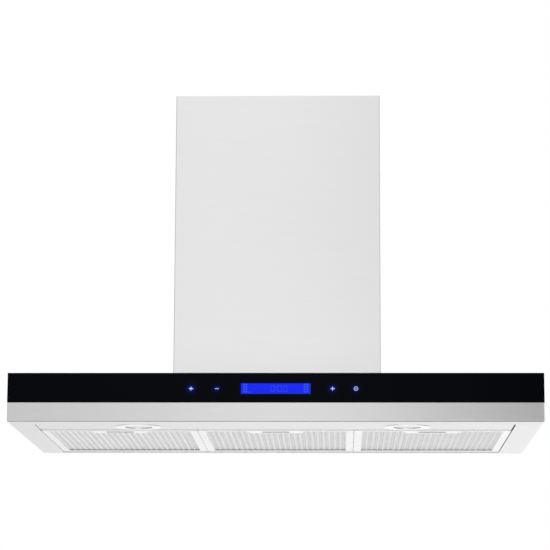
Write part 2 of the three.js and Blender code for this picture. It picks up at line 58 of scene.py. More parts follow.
# ---------- node materials ----------
class NodeTree:
    """A small wrapper that fills an empty node tree."""

    def __init__(self, tree):
        self.tree = tree
        self.tree.nodes.clear()

    def add(self, kind, **settings):
        node = self.tree.nodes.new(kind)
        for key, value in settings.items():
            setattr(node, key, value)
        return node

    def link(self, a, b):
        self.tree.links.new(a, b)

    def put(self, value, socket):
        """Links a socket or sets a plain value."""
        if isinstance(value, bpy.types.NodeSocket):
            self.link(value, socket)
        else:
            socket.default_value = value

    def math(self, operation, a, b=0.0):
        node = self.add("ShaderNodeMath", operation=operation)
        for value, socket in zip((a, b), node.inputs):
            self.put(value, socket)
        return node.outputs[0]

    def vector(self, operation, a, b):
        node = self.add("ShaderNodeVectorMath", operation=operation)
        self.put(a, node.inputs[0])
        self.put(b, node.inputs[1])
        return node.outputs["Value" if operation == "DISTANCE" else "Vector"]

    def split(self, vector):
        node = self.add("ShaderNodeSeparateXYZ")
        self.link(vector, node.inputs[0])
        return node.outputs

    def join(self, x, y, z):
        node = self.add("ShaderNodeCombineXYZ")
        for value, socket in zip((x, y, z), node.inputs):
            self.put(value, socket)
        return node.outputs[0]

    def noise(self, vector, scale=1.0, detail=2.0, roughness=0.5):
        node = self.add("ShaderNodeTexNoise")
        self.link(vector, node.inputs["Vector"])
        node.inputs["Scale"].default_value = scale
        node.inputs["Detail"].default_value = detail
        node.inputs["Roughness"].default_value = roughness
        return node.outputs["Fac"]

    def ramp(self, value, low, high, to_low=0.0, to_high=1.0, smooth=False):
        node = self.add("ShaderNodeMapRange")
        if smooth:
            node.interpolation_type = "SMOOTHSTEP"
        for item, socket in zip((value, low, high, to_low, to_high), node.inputs):
            self.put(item, socket)
        return node.outputs[0]

    def pick(self, factor, a, b):
        """Two plain values mixed by a factor."""
        node = self.add("ShaderNodeMix", data_type="FLOAT")
        self.put(factor, node.inputs[0])
        self.put(a, node.inputs[2])
        self.put(b, node.inputs[3])
        return node.outputs[0]

    def blend(self, factor, a, b):
        """Two colours mixed by a factor."""
        node = self.add("ShaderNodeMix", data_type="RGBA")
        self.put(factor, node.inputs[0])
        self.put(a, node.inputs[6])
        self.put(b, node.inputs[7])
        return node.outputs[2]

    def bump(self, height, strength, distance, normal=None):
        node = self.add("ShaderNodeBump")
        node.inputs["Strength"].default_value = strength
        node.inputs["Distance"].default_value = distance
        self.link(height, node.inputs["Height"])
        if normal is not None:
            self.link(normal, node.inputs["Normal"])
        return node.outputs[0]

    def curve(self, value, stops):
        """Brightness along a value, given by (value, brightness) stops."""
        low, high = stops[0][0], stops[-1][0]
        node = self.add("ShaderNodeValToRGB")
        node.color_ramp.interpolation = "EASE"
        self.link(self.math("DIVIDE", self.math("SUBTRACT", value, low), high - low), node.inputs[0])
        elements = node.color_ramp.elements
        while len(elements) > 1:
            elements.remove(elements[-1])
        elements[0].position = 0.0
        elements[0].color = grey(stops[0][1])
        for at, level in stops[1:]:
            elements.new((at - low) / (high - low)).color = grey(level)
        return node.outputs[0]


class Nodes(NodeTree):
    """A material with one shader, coloured by the position on the object."""

    def __init__(self, name):
        self.material = bpy.data.materials.new(name)
        self.material.use_nodes = True
        super().__init__(self.material.node_tree)
        self.shader = self.add("ShaderNodeBsdfPrincipled")
        output = self.add("ShaderNodeOutputMaterial")
        self.link(self.shader.outputs[0], output.inputs["Surface"])
        self.position = self.add("ShaderNodeTexCoord").outputs["Object"]

    def surface(self, color, roughness, metallic, normal=None, **others):
        self.put(color, self.shader.inputs["Base Color"])
        self.put(roughness, self.shader.inputs["Roughness"])
        self.put(metallic, self.shader.inputs["Metallic"])
        if normal is not None:
            self.put(normal, self.shader.inputs["Normal"])
        for key, value in others.items():
            self.put(value, self.shader.inputs[key.replace("_", " ")])
        return self.material


def grey(value, tint=(1.0, 1.0, 1.0)):
    return (value * tint[0], value * tint[1], value * tint[2], 1.0)


def brushed_steel(name, value, roughness):
    """Sheet ground along its length: fine streaks run level on upright faces and along X on flat ones."""
    n = Nodes(name)
    x, y, z = n.split(n.position)
    normal = n.split(n.add("ShaderNodeNewGeometry").outputs["Normal"])
    flat = n.math("GREATER_THAN", n.math("ABSOLUTE", normal[2]), 0.7)
    side = n.math("GREATER_THAN", n.math("ABSOLUTE", normal[0]), 0.7)
    run, step = n.pick(side, x, y), n.pick(flat, z, y)
    fine = n.noise(n.join(n.math("MULTIPLY", run, 24), n.math("MULTIPLY", step, 2600), side), 1.0, 3, 0.6)
    wide = n.noise(n.join(n.math("MULTIPLY", run, 7), n.math("MULTIPLY", step, 420), side), 1.0, 3, 0.65)
    cloud = n.noise(n.position, 4.5, 2, 0.5)
    streaks = n.math("ADD", n.math("MULTIPLY", fine, 0.6), n.math("MULTIPLY", wide, 0.4))
    tone = n.math("ADD", n.math("MULTIPLY", streaks, 0.8), n.math("MULTIPLY", cloud, 0.2))
    spread = 0.035
    color = n.blend(n.ramp(tone, 0.3, 0.7), grey(value * (1 - spread)), grey(min(1, value * (1 + spread))))
    rough = n.ramp(streaks, 0.25, 0.75, roughness - 0.03, roughness + 0.04)
    ground = n.bump(fine, 0.06, 0.00003)
    # The polish stretches each highlight across the grain.
    tangent = n.join(0.0, flat, n.math("SUBTRACT", 1.0, flat))
    return n.surface(color, rough, 1.0, n.bump(wide, 0.02, 0.00006, ground),
                     Anisotropic=0.75, Tangent=tangent)


def galvanised(name):
    """Zinc coating with frost-like spangle."""
    n = Nodes(name)
    value = 0.5
    cells = n.add("ShaderNodeTexVoronoi", feature="F1")
    cells.inputs["Scale"].default_value = 130
    warped = n.vector("ADD", n.position, n.join(n.noise(n.position, 90), n.noise(n.position, 70), 0.0))
    n.link(warped, cells.inputs["Vector"])
    shade = n.split(cells.outputs["Color"])[0]
    cloud = n.noise(n.position, 16, 4, 0.6)
    mix = n.math("ADD", n.math("MULTIPLY", shade, 0.6), n.math("MULTIPLY", cloud, 0.4))
    color = n.blend(mix, grey(value * 0.78, (0.96, 0.99, 1.0)), grey(value * 1.18, (0.97, 0.99, 1.0)))
    rough = n.ramp(mix, 0, 1, 0.36, 0.55)
    return n.surface(color, rough, 1.0, n.bump(shade, 0.08, 0.0001))


def satin_metal(name, value, roughness, speck=700):
    """Pressed sheet or turned metal with a fine satin tooth and faint cloudiness."""
    n = Nodes(name)
    tooth = n.noise(n.position, speck, 3, 0.6)
    cloud = n.noise(n.position, 22, 3, 0.55)
    mix = n.math("ADD", n.math("MULTIPLY", tooth, 0.5), n.math("MULTIPLY", cloud, 0.5))
    color = n.blend(n.ramp(mix, 0.3, 0.7), grey(value * 0.95), grey(min(1, value * 1.05)))
    rough = n.ramp(mix, 0.25, 0.75, roughness - 0.04, roughness + 0.06)
    return n.surface(color, rough, 1.0, n.bump(tooth, 0.06, 0.00005))


def moulded(name, color, roughness=0.55, grain=900):
    """Injection-moulded plastic with a spark-eroded texture."""
    n = Nodes(name)
    tooth = n.noise(n.position, grain, 2, 0.6)
    cloud = n.noise(n.position, 18, 3, 0.5)
    low = tuple(c * 0.86 for c in color[:3]) + (1.0,)
    high = tuple(min(1, c * 1.14) for c in color[:3]) + (1.0,)
    mix = n.math("ADD", n.math("MULTIPLY", tooth, 0.4), n.math("MULTIPLY", cloud, 0.6))
    rough = n.ramp(tooth, 0.2, 0.8, roughness - 0.08, roughness + 0.08)
    return n.surface(n.blend(mix, low, high), rough, 0.0, n.bump(tooth, 0.25, 0.00012))


def mesh_pad(name, value, low_z, high_z):
    """Layers of expanded aluminium mesh: rows of small diamond openings, with painted shade that darkens them
    more in the valleys.
    """
    n = Nodes(name)
    x, y, z = n.split(n.position)
    column = n.math("MULTIPLY", x, 1 / (4.2 * MM))
    row = n.math("MULTIPLY", y, 1 / (2.6 * MM))
    a = n.math("ABSOLUTE", n.math("SINE", n.math("MULTIPLY", n.math("ADD", column, row), math.pi / 2)))
    b = n.math("ABSOLUTE", n.math("SINE", n.math("MULTIPLY", n.math("SUBTRACT", column, row), math.pi / 2)))
    hole = n.ramp(n.math("MULTIPLY", a, b), 0.3, 0.75, smooth=True)
    jitter = n.noise(n.position, 300, 3, 0.6)
    dents = n.noise(n.join(n.math("MULTIPLY", x, 260), n.math("MULTIPLY", y, 55), 0.0), 1.0, 2, 0.5)
    # Painted shade: the openings are drawn darker the higher they lie, so the recessed valleys look shaded.
    depth = n.ramp(z, low_z, high_z, smooth=True)
    openings_and_valley_shade = n.math("MULTIPLY", hole, n.math("ADD", n.math("MULTIPLY", depth, 0.75), 0.1))
    openings_and_valley_shade = n.math("MULTIPLY", openings_and_valley_shade, n.ramp(dents, 0.3, 0.7, 0.5, 1.3))
    cloud = n.noise(n.position, 30, 3, 0.5)
    strand = n.blend(cloud, grey(value * 0.94), grey(min(1, value * 1.04)))
    color = n.blend(openings_and_valley_shade, strand, grey(value * 0.42))
    rough = n.ramp(jitter, 0.3, 0.7, 0.34, 0.5)
    height = n.math("SUBTRACT", n.math("MULTIPLY", jitter, 0.35), hole)
    return n.surface(color, rough, 1.0, n.bump(height, 0.25, 0.0003))


def black_glass(name, marks, window):
    """Glass painted black behind, with a blue glow round each lit mark and a faint one round the window."""
    n = Nodes(name)
    smear = n.noise(n.position, 9, 4, 0.6)
    dust = n.noise(n.position, 500, 2, 0.7)
    color = n.blend(smear, (0.0019, 0.0024, 0.0039, 1), (0.0025, 0.003, 0.0047, 1))
    rough = n.math("ADD", n.ramp(smear, 0.3, 0.7, 0.03, 0.07), n.ramp(dust, 0.62, 0.8, 0.0, 0.05))
    total = None
    for centre, radius, level in marks:
        away = n.vector("DISTANCE", n.position, centre)
        glow = n.math("MULTIPLY", n.math("EXPONENT", n.math("DIVIDE", away, -radius)), level)
        total = glow if total is None else n.math("ADD", total, glow)
    x, _, z = n.split(n.position)
    x0, x1, z0, z1, reach = window
    past_x = n.math("SUBTRACT", n.math("ABSOLUTE", n.math("SUBTRACT", x, (x0 + x1) / 2)), (x1 - x0) / 2)
    past_z = n.math("SUBTRACT", n.math("ABSOLUTE", n.math("SUBTRACT", z, (z0 + z1) / 2)), (z1 - z0) / 2)
    rim = n.math("POWER", n.ramp(n.math("MAXIMUM", past_x, past_z), 0.0, reach, 1.0, 0.0), 2.0)
    total = n.math("ADD", total, n.math("MULTIPLY", rim, 0.12))
    light = n.blend(n.math("MINIMUM", total, 1.0), (0, 0, 0, 1), (0.016, 0.032, 0.85, 1))
    return n.surface(color, rough, 0.0, Specular_IOR_Level=0.025, Emission_Color=light, Emission_Strength=1.0)


def lit(name, color):
    """A lit panel: an even glow with the faint grid of its cells."""
    n = Nodes(name)
    x, _, z = n.split(n.position)
    spacing, contrast = 0.6 * MM, 0.12
    grid = n.math("MULTIPLY",
                  n.math("ABSOLUTE", n.math("SINE", n.math("MULTIPLY", x, math.pi / spacing))),
                  n.math("ABSOLUTE", n.math("SINE", n.math("MULTIPLY", z, math.pi / spacing))))
    cloud = n.noise(n.position, 45, 2, 0.5)
    mix = n.math("ADD", n.math("MULTIPLY", grid, 0.5), n.math("MULTIPLY", cloud, 0.5))
    low = tuple(c * (1 - contrast) for c in color) + (1.0,)
    high = tuple(min(1, c * (1 + contrast)) for c in color) + (1.0,)
    glow = n.blend(mix, low, high)
    rough = n.ramp(cloud, 0.3, 0.7, 0.12, 0.2)
    return n.surface(n.blend(mix, grey(0.001), grey(0.002)), rough, 0.0, Specular_IOR_Level=0.02,
                     Emission_Color=glow, Emission_Strength=1.0)


def frosted(name):
    """Frosted lens: a pebbled surface that scatters the lamp's light."""
    n = Nodes(name)
    pebble = n.add("ShaderNodeTexVoronoi", feature="SMOOTH_F1")
    pebble.inputs["Scale"].default_value = 520
    n.link(n.position, pebble.inputs["Vector"])
    cloud = n.noise(n.position, 60, 2, 0.5)
    color = n.blend(cloud, (0.7, 0.71, 0.71, 1), (0.78, 0.78, 0.77, 1))
    rough = n.ramp(cloud, 0.3, 0.7, 0.25, 0.4)
    glow = n.blend(cloud, (0.93, 0.95, 1, 1), (1, 1, 0.98, 1))
    return n.surface(color, rough, 0.0, n.bump(pebble.outputs["Distance"], 0.3, 0.0003),
                     Emission_Color=glow, Emission_Strength=0.16)


def circuit_board(name):
    """Green solder mask with copper tracks under it."""
    n = Nodes(name)
    x, _, z = n.split(n.position)
    tracks = n.add("ShaderNodeTexBrick")
    n.link(n.join(x, z, 0.0), tracks.inputs["Vector"])
    tracks.inputs["Scale"].default_value = 60
    tracks.inputs["Mortar Size"].default_value = 0.035
    tracks.inputs["Color1"].default_value = (0.008, 0.085, 0.025, 1)
    tracks.inputs["Color2"].default_value = (0.012, 0.11, 0.035, 1)
    tracks.inputs["Mortar"].default_value = (0.03, 0.2, 0.07, 1)
    cloud = n.noise(n.position, 200, 2, 0.5)
    rough = n.ramp(cloud, 0.3, 0.7, 0.32, 0.5)
    return n.surface(tracks.outputs["Color"], rough, 0.0, n.bump(tracks.outputs["Fac"], 0.3, 0.0001))


def pale_floor(name):
    """A pale matt floor with faint clouds."""
    n = Nodes(name)
    cloud = n.noise(n.position, 0.6, 4, 0.6)
    return n.surface(n.blend(cloud, grey(0.86), grey(0.9)), n.ramp(cloud, 0, 1, 0.7, 0.8), 0.0)


def dark_card(name):
    """Dark matt card."""
    n = Nodes(name)
    cloud = n.noise(n.position, 2, 2, 0.5)
    return n.surface(n.blend(cloud, grey(0.03), grey(0.04)), n.ramp(cloud, 0, 1, 0.8, 0.9), 0.0,
                     Specular_IOR_Level=0.0)


# ---------- meshes ----------
def piece(name, bm, material, body="canopy", replaces=(), smooth=30):
    """A finished piece from a bmesh: merged, with outward normals, smooth but for its sharp edges."""
    bmesh.ops.remove_doubles(bm, verts=bm.verts, dist=1e-6)
    bmesh.ops.dissolve_degenerate(bm, edges=bm.edges, dist=1e-7)
    bmesh.ops.recalc_face_normals(bm, faces=bm.faces)
    mesh = bpy.data.meshes.new(name)
    bm.to_mesh(mesh)
    bm.free()
    mesh.shade_smooth()
    mesh.set_sharp_from_angle(angle=math.radians(smooth))
    mesh.materials.append(material)
    obj = bpy.data.objects.new(name, mesh)
    scene.collection.objects.link(obj)
    # Flat faces keep their own normal up to the rounded corners.
    weighted = obj.modifiers.new("weighted", "WEIGHTED_NORMAL")
    weighted.keep_sharp = True
    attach(obj, body)
    if replaces:
        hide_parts(*replaces)
    return obj


def skin(bm, rings, closed_path=False):
    """Quads between consecutive rings of points. A closed path joins the last ring back to the first."""
    rows = [[bm.verts.new(p) for p in ring] for ring in rings]
    count = len(rows[0])
    for r in range(len(rows) if closed_path else len(rows) - 1):
        a, b = rows[r], rows[(r + 1) % len(rows)]
        for i in range(count):
            j = (i + 1) % count
            bm.faces.new((a[i], a[j], b[j], b[i]))
    return rows


def rounded_rectangle(x0, x1, y0, y1, z, r, rear_z=None, steps=4):
    """Points round a level rectangle with rounded corners, anticlockwise from above."""
    points = []
    turns = ((x1 - r, y0 + r, -90), (x1 - r, y1 - r, 0), (x0 + r, y1 - r, 90), (x0 + r, y0 + r, 180))
    for cx, cy, start in turns:
        for k in range(steps + 1):
            a = math.radians(start + 90 * k / steps)
            y = cy + r * math.sin(a)
            level = rear_z if rear_z is not None and y > (y0 + y1) / 2 else z
            points.append((cx + r * math.cos(a), y, level))
    return points


def quarter(steps=4):
    """Cosine and sine along a quarter turn."""
    return [(math.cos(k * math.pi / 2 / steps), math.sin(k * math.pi / 2 / steps)) for k in range(steps + 1)]


def extruded(bm, outline, z0, z1, edge):
    """An upright prism over an outline, with its level edges chamfered by `edge`."""
    count = len(outline)

    def inset(amount):
        moved = []
        for i, (x, y) in enumerate(outline):
            (ax, ay), (bx, by) = outline[i - 1], outline[(i + 1) % count]
            u, v = Vector((x - ax, y - ay)).normalized(), Vector((bx - x, by - y)).normalized()
            normal = Vector((-u.y - v.y, u.x + v.x))
            normal = normal / max(normal.length_squared / 2, 0.2)
            moved.append((x + normal.x * amount, y + normal.y * amount))
        return moved

    levels = [(inset(edge), z0), (outline, z0 + edge), (outline, z1 - edge), (inset(edge), z1)]
    rows = skin(bm, [[(x, y, z) for x, y in points] for points, z in levels])
    bm.faces.new(rows[0])
    bm.faces.new(rows[-1])


def block(bm, lo, hi, bevel=0.0):
    """A block between two corners with rounded edges."""
    size = [b - a for a, b in zip(lo, hi)]
    centre = [(a + b) / 2 for a, b in zip(lo, hi)]
    matrix = Matrix.Translation(centre) @ Matrix.Diagonal((*size, 1))
    made = bmesh.ops.create_cube(bm, size=1.0, matrix=matrix)
    if bevel:
        edges = list({e for v in made["verts"] for e in v.link_edges})
        bmesh.ops.bevel(bm, geom=edges, offset=bevel, segments=2, profile=0.5, affect="EDGES")


def turned(bm, profile, centre, axis="Z", segments=72):
    """A closed (radius, height) profile turned round an axis through the centre."""
    place = {"Z": lambda r, a, h: (r * math.cos(a), r * math.sin(a), h),
             "X": lambda r, a, h: (h, r * math.cos(a), r * math.sin(a)),
             "Y": lambda r, a, h: (r * math.cos(a), h, r * math.sin(a))}[axis]
    rings = []
    for i in range(segments):
        angle = 2 * math.pi * i / segments
        rings.append([Vector(centre) + Vector(place(r, angle, h)) for r, h in profile])
    skin(bm, rings, closed_path=True)


def screw(bm, head, direction, radius, proud):
    """A pan head whose cross recess is drawn as a round dip, standing on `head` and facing `direction`."""
    axis = max(range(3), key=lambda i: abs(direction[i]))
    sign = 1 if direction[axis] > 0 else -1
    profile = [(0.0, 0.0), (radius, 0.0), (radius, proud * 0.35)]
    profile += [(radius * c, proud * (0.35 + 0.65 * s)) for c, s in quarter(5)[1:-1]]
    profile += [(radius * 0.36, proud), (radius * 0.3, proud * 0.45), (0.0, proud * 0.4)]
    turned(bm, [(r, h * sign) for r, h in profile], head, "XYZ"[axis], 20)


# ---------- the frame's own pieces, refined ----------
def refine(node, material, bevel, segments=2):
    """Keeps a CAD node: its flat faces are merged, its edges rounded and its round faces smoothed."""
    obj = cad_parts[node]
    mesh = obj.data
    mesh.materials.clear()
    mesh.materials.append(material)
    if "custom_normal" in mesh.attributes:
        mesh.attributes.remove(mesh.attributes["custom_normal"])
    mesh.shade_smooth()
    weld = obj.modifiers.new("weld", "WELD")
    weld.merge_threshold = 1e-6
    flat = obj.modifiers.new("flat", "DECIMATE")
    flat.decimate_type = "DISSOLVE"
    flat.angle_limit = math.radians(1)
    if bevel:
        rounded = obj.modifiers.new("rounded", "BEVEL")
        rounded.width = bevel
        rounded.segments = segments
        rounded.limit_method = "ANGLE"
        rounded.angle_limit = math.radians(28)
        rounded.harden_normals = True


# ---------- canopy ----------
OPENING = {"left": -409.9 * MM, "right": 405.5 * MM, "front": -209 * MM, "rear": 235 * MM,
           "lip": 15.2 * MM, "rear_lip": 6.4 * MM}
INTAKE = (145 * MM, 118 * MM)  # half the blower's intake in the top
STRIP = GLASS_LO.z - 0.3 * MM - CANOPY_LO.z  # height of the steel strip under the glass


def canopy(material):
    """The welded shell as one folded sheet: top, aprons with their bends, flange and upturned lip."""
    (x0, y0, z0), (x1, y1, z1) = CANOPY_LO, CANOPY_HI
    back = GLASS_HI.y + 1 * MM  # the recess behind the glass
    shelf = z0 + STRIP
    bend, edge, small = 1.6 * MM, 0.7 * MM, 0.5 * MM
    rings = []

    def ring(inset, front, z):
        rings.append(rounded_rectangle(x0 + inset, x1 - inset, front + inset, y1 - inset, z, 1.5 * MM))

    def opening(out, z, rear_z=None):
        o = OPENING
        rings.append(rounded_rectangle(o["left"] - out, o["right"] + out, o["front"] - out, o["rear"] + out,
                                       z, 1 * MM + out, rear_z))

    def intake(z):
        half_x, half_y = INTAKE
        rings.append(rounded_rectangle(-half_x, half_x, -half_y, half_y, z, 4 * MM))

    intake(z1)
    for c, s in quarter()[::-1]:
        ring(edge * (1 - c), back, z1 - edge * (1 - s))
    ring(0, back, shelf)
    for c, s in quarter()[::-1]:
        ring(0, y0 + edge * (1 - c), shelf - edge * (1 - s))
    for c, s in quarter():
        ring(bend * (1 - c), y0, z0 + bend * (1 - s))
    for c, s in quarter()[::-1]:
        opening(small * (1 - c), z0 + small * (1 - s))
    opening(0, z0 + OPENING["lip"], z0 + OPENING["rear_lip"])
    opening(SHEET, z0 + OPENING["lip"], z0 + OPENING["rear_lip"])
    opening(SHEET, z0 + SHEET)
    ring(SHEET, y0, z0 + SHEET)
    ring(SHEET, y0, shelf - SHEET)
    ring(SHEET, back, shelf - SHEET)
    ring(SHEET, back, z1 - SHEET)
    intake(z1 - SHEET)
    bm = bmesh.new()
    skin(bm, rings, closed_path=True)
    return piece("canopy_body", bm, material, "canopy", ["canopy_shell"])


# ---------- chimney ----------
def cover_half(name, node, body, material, radius, inner_radius):
    """A U-shaped cover: a bent sheet whose corners are rounded and whose ends meet at the side seams."""
    lo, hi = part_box(node)
    front = lo.y < -hi.y
    sign = -1 if front else 1
    seam, far = (-hi.y, -lo.y) if front else (lo.y, hi.y)
    half = hi.x
    outer, inner = [(-half, seam)], [(-half + SHEET, seam)]
    for path, r, reach, x in ((outer, radius, far, half), (inner, inner_radius, far - SHEET, half - SHEET)):
        for c, s in quarter(6):
            path.append((-x + r * (1 - c), reach - r * (1 - s)))
        for c, s in quarter(6)[::-1]:
            path.append((x - r * (1 - c), reach - r * (1 - s)))
    outer.append((half, seam))
    inner.append((half - SHEET, seam))
    section = outer + inner[::-1]
    bm = bmesh.new()
    rise = 0.25 * MM
    rows = []
    for z, pull in ((lo.z, rise), (lo.z + rise, 0), (hi.z - rise, 0), (hi.z, rise)):
        row = []
        for i, (x, y) in enumerate(section):
            twin = section[len(section) - 1 - i]
            way = Vector((twin[0] - x, twin[1] - y))
            shift = way.normalized() * pull if pull else Vector((0, 0))
            row.append((x + shift.x, sign * (y + shift.y), z))
        rows.append(row)
    made = skin(bm, rows)
    count = len(section)
    for row in (made[0], made[-1]):
        for i in range(count // 2 - 1):
            bm.faces.new((row[i], row[i + 1], row[count - 2 - i], row[count - 1 - i]))
    return piece(name, bm, material, body, [node])


def chimney(steel, screws):
    for half in ("front", "rear"):
        cover_half(f"chimney_cover_{half}", f"lower_cover_{half}", "canopy", steel, 2.2 * MM, 1.2 * MM)
    lo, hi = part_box("lower_cover_front")
    bm = bmesh.new()
    for side in (-1, 1):
        for y in (-11 * MM, 11 * MM):
            for z in (lo.z + 22 * MM, hi.z - 22 * MM):
                screw(bm, (side * hi.x, y, z), (side, 0, 0), 2.9 * MM, 1.3 * MM)
    piece("cover_screws", bm, screws, "canopy")


# ---------- glass and controls ----------
DISPLAY = {"x": 1.2 * MM, "half": (58.3 * MM, 8.75 * MM)}  # the window, off the display module's centre
MARKS = {"plus_left": -141 * MM, "minus": -97.6 * MM, "plus_right": 96.5 * MM, "power": 135.6 * MM}
GLOWS = {"plus_left": 1.75, "minus": 0.62, "plus_right": 1.15, "power": 0.95}
MARK_Z = 56 * MM


def mark_glows():
    """The centre, falloff and strength of the glow round each mark."""
    z = CANOPY_LO.z + MARK_Z
    return [((x, GLASS_LO.y, z), 1.9 * MM, GLOWS[name]) for name, x in MARKS.items()]


def window_box():
    """The display window's left, right, lower and upper edge."""
    lo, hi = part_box("display_module")
    cx, cz = (lo.x + hi.x) / 2 + DISPLAY["x"], (lo.z + hi.z) / 2
    half_x, half_z = DISPLAY["half"]
    return cx - half_x, cx + half_x, cz - half_z, cz + half_z


def fascia(glass, blue, pale_blue, mark):
    """The glass with ground edges and a clear window, the lit display in it, and the lit marks."""
    (x0, y0, z0), (x1, y1, z1) = GLASS_LO, GLASS_HI
    wx0, wx1, wz0, wz1 = window_box()
    edge = 0.6 * MM

    def around(ax0, ax1, az0, az1, y):
        return [(ax0, y, az0), (ax1, y, az0), (ax1, y, az1), (ax0, y, az1)]

    bm = bmesh.new()
    skin(bm, [
        around(wx0, wx1, wz0, wz1, y0), around(x0 + edge, x1 - edge, z0 + edge, z1 - edge, y0),
        around(x0, x1, z0, z1, y0 + edge), around(x0, x1, z0, z1, y1 - edge),
        around(x0 + edge, x1 - edge, z0 + edge, z1 - edge, y1), around(wx0, wx1, wz0, wz1, y1),
    ], closed_path=True)
    piece("glass_fascia", bm, glass, "canopy", ["front_glass"], 15)

    gap = 0.05 * MM
    bm = bmesh.new()
    block(bm, (wx0 + gap, y0 + gap, wz0 + gap), (wx1 - gap, y1 - 1 * MM, wz1 - gap), 0.2 * MM)
    piece("display_window", bm, blue, "canopy")

    face = y0 + 0.02 * MM
    # The clock sits a little right of the window's centre.
    cx, cz = (wx0 + wx1) / 2 + 6 * MM, (wz0 + wz1) / 2

    def bar(bm, ax0, ax1, az0, az1):
        block(bm, (ax0, face, az0), (ax1, face + 0.3 * MM, az1))

    bm = bmesh.new()
    height, width, stroke, break_z = 11 * MM, 6.6 * MM, 0.8 * MM, 0.5 * MM
    for centre in (-11.2 * MM, 0.4 * MM, 10 * MM):
        left, right = cx + centre - width / 2, cx + centre + width / 2
        low, high = cz - height / 2, cz + height / 2
        for x in (left, right - stroke):
            bar(bm, x, x + stroke, low + break_z, cz - break_z)
            bar(bm, x, x + stroke, cz + break_z, high - break_z)
        bar(bm, left + stroke * 1.3, right - stroke * 1.3, low, low + stroke)
        bar(bm, left + stroke * 1.3, right - stroke * 1.3, high - stroke, high)
    # The clock's colon, the level marks at both ends and one short dash.
    for z in (-2.4 * MM, 2.4 * MM):
        bar(bm, cx - 6.1 * MM, cx - 4.7 * MM, cz + z - 0.7 * MM, cz + z + 0.7 * MM)
    for start, wide in ((wx0 + 3.4 * MM, 7.4 * MM), (wx1 - 11.5 * MM, 8 * MM)):
        for i in range(4):
            z = wz0 + 2.4 * MM + i * 4 * MM
            bar(bm, start, start + wide * 0.42, z, z + 2.6 * MM)
            bar(bm, start + wide * 0.52, start + wide, z, z + 2.6 * MM)
    bar(bm, wx0 + 13 * MM, wx0 + 16.5 * MM, wz0 + 2.2 * MM, wz0 + 3.6 * MM)
    piece("display_segments", bm, pale_blue, "canopy")

    z = CANOPY_LO.z + MARK_Z
    proud = y0 - 0.03 * MM

    def stroke_block(bm, x, half_x, half_z):
        block(bm, (x - half_x, proud, z - half_z), (x + half_x, proud + 0.3 * MM, z + half_z))

    thin = 0.65 * MM
    for name, x in MARKS.items():
        bm = bmesh.new()
        if name == "power":
            turned(bm, [(2.8 * MM, proud), (3.6 * MM, proud), (3.6 * MM, proud + 0.3 * MM),
                        (2.8 * MM, proud + 0.3 * MM)], (x, 0, z), "Y", 48)
            stroke_block(bm, x, 0.45 * MM, 1.6 * MM)
        elif name == "minus":
            stroke_block(bm, x, 3.3 * MM, 0.46 * MM)
        else:
            across, along = (3.6 * MM, 3.0 * MM) if name == "plus_left" else (3.4 * MM, 3.0 * MM)
            for run in ((across, thin), (thin, along)):
                stroke_block(bm, x, *run)
        piece(f"touch_mark_{name}", bm, mark, "canopy")


# ---------- lamps ----------
def lamps(chrome, lens):
    """A thin flange that tapers to its rim, and a frosted lens set back in its aperture."""
    for side in ("left", "right"):
        lo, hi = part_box(f"lamp_bezel_{side}")
        x, y = (lo.x + hi.x) / 2, (lo.y + hi.y) / 2
        # Radii and heights in millimetres, from the flange's underside up.
        rim, barrel, depth = (hi.x - lo.x) / 2 / MM, 30.5, (hi.z - lo.z) / MM
        profile = [(23.3, 2.6), (23.5, 1.0), (23.6, 0.8), (23.9, 0.7), (32.0, 0.7)]
        profile += [(rim - 1.0, 0.95), (rim - 0.2, 1.0), (rim, 1.08), (rim, 1.45), (barrel, 1.45)]
        profile += [(barrel, depth), (barrel - 1.5, depth), (barrel - 1.5, 2.7)]
        bm = bmesh.new()
        turned(bm, [(r * MM, h * MM) for r, h in profile], (x, y, lo.z), "Z", 96)
        piece(f"lamp_trim_{side}", bm, chrome, "canopy", [f"lamp_bezel_{side}"], 40)
        lens_lo, lens_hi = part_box(f"lamp_lens_{side}")
        radius, top = (lens_hi.x - lens_lo.x) / 2 / MM, (lens_hi.z - lo.z) / MM
        seat, plug = 2.9, 22.9
        dome = [(0.0, top), (radius, top), (radius, seat), (plug, seat)]
        dome += [(plug * c, seat - 0.9 * s) for c, s in quarter(8)[1:]]
        bm = bmesh.new()
        turned(bm, [(r * MM, h * MM) for r, h in dome], (x, y, lo.z), "Z", 96)
        piece(f"lamp_lens_cover_{side}", bm, lens, "canopy", [f"lamp_lens_{side}"], 40)


# ---------- grease filters ----------
BORDER = 13.5 * MM  # at the front and both sides
REAR_BORDER = 19 * MM
HOOK = 8.6 * MM  # how far the two hooks reach past the rear
RIDGES = 24


